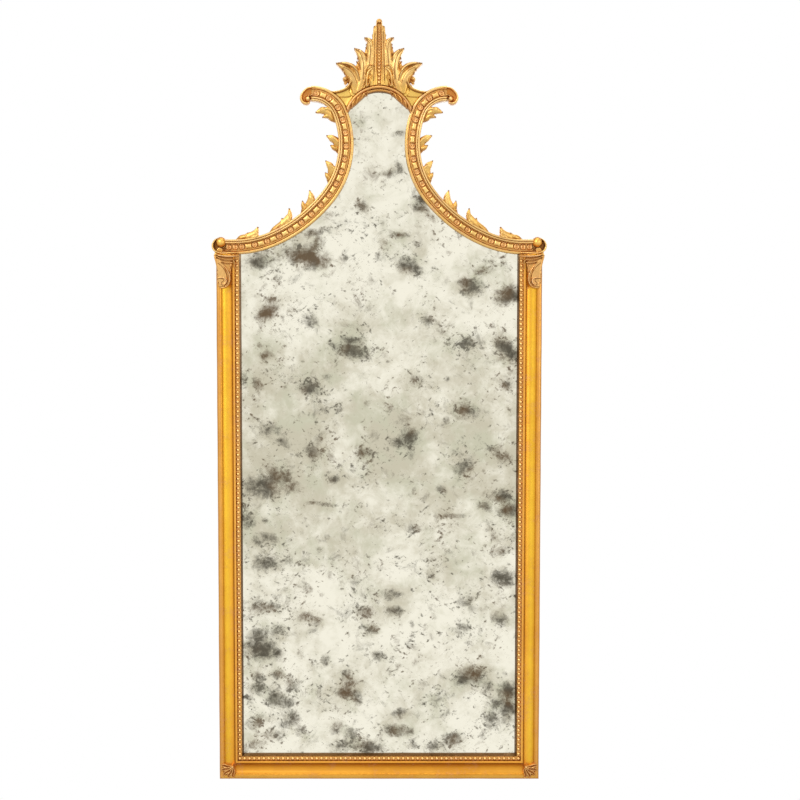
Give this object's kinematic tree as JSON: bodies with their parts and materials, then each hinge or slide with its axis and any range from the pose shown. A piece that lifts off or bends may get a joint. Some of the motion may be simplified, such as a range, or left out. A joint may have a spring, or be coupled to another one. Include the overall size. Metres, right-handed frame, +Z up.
{
  "type": "pier mirror",
  "caption": "Tall giltwood pier mirror: beaded rectangular frame, ogee head of two carved scroll rails, leaf crest with a pearl string, and an antiqued mirror plate.",
  "frame": {"origin": "middle of the bottom rail's underside edge on the back plane of the frame, which lies against the wall", "axes": "+Z up along the height, +Y backwards into the wall, +X to the right as seen from the front"},
  "size_m": [0.6688, 0.0497, 1.524],
  "materials": {
    "gilt_frame": "worn water gilding over gesso, satin",
    "gilt_carving": "worn gilding with brown toning in the recesses, satin",
    "mirror_plate": "old silvered glass with grey-brown foxing",
    "back_board": "bare aged pine",
    "bare_wood": "bare beech",
    "felt": "felt",
    "brass_screws": "dull",
    "steel": "zinc plated"
  },
  "bodies": {
    "frame": {"left_stile": "gilt_frame", "right_stile": "gilt_frame", "bottom_rail": "gilt_frame", "left_head_rail": "gilt_frame", "right_head_rail": "gilt_frame", "crest_arch": "gilt_frame", "crest_panel": "gilt_frame", "crest_leaves": "gilt_carving", "crest_pearls": "gilt_carving", "left_arch_leaf": "gilt_carving", "right_arch_leaf": "gilt_carving", "left_pearl_string": "gilt_carving", "right_pearl_string": "gilt_carving", "bottom_pearl_string": "gilt_carving", "left_head_enrichment": "gilt_carving", "right_head_enrichment": "gilt_carving", "left_shoulder_ball": "gilt_carving", "right_shoulder_ball": "gilt_carving", "left_shoulder_leaf": "gilt_carving", "right_shoulder_leaf": "gilt_carving", "left_corner_leaf": "gilt_carving", "right_corner_leaf": "gilt_carving", "left_sprig_1": "gilt_carving", "left_sprig_2": "gilt_carving", "left_sprig_3": "gilt_carving", "left_sprig_4": "gilt_carving", "left_sprig_5": "gilt_carving", "left_sprig_6": "gilt_carving", "right_sprig_1": "gilt_carving", "right_sprig_2": "gilt_carving", "right_sprig_3": "gilt_carving", "right_sprig_4": "gilt_carving", "right_sprig_5": "gilt_carving", "right_sprig_6": "gilt_carving", "mirror_plate": "mirror_plate", "setting_blocks": "bare_wood", "plate_packing": "felt", "back_board": "back_board", "back_board_screws": "brass_screws", "stile_dowels": "bare_wood", "crest_dowels": "bare_wood", "mitre_splines": "bare_wood", "left_strap_hanger": "steel", "right_strap_hanger": "steel", "hanger_screws": "steel"},
    "left_ring": {"left_ring": "steel"},
    "right_ring": {"right_ring": "steel"}
  },
  "joints": [
    {"name": "left_ring_hinge", "type": "hinge", "parent": "frame", "child": "left_ring", "pos_m": [-0.307, 0.00375, 0.942], "axis": [1, 0, 0], "range_deg": [0, 180]},
    {"name": "right_ring_hinge", "type": "hinge", "parent": "frame", "child": "right_ring", "pos_m": [0.307, 0.00375, 0.942], "axis": [1, 0, 0], "range_deg": [0, 180]}
  ]
}
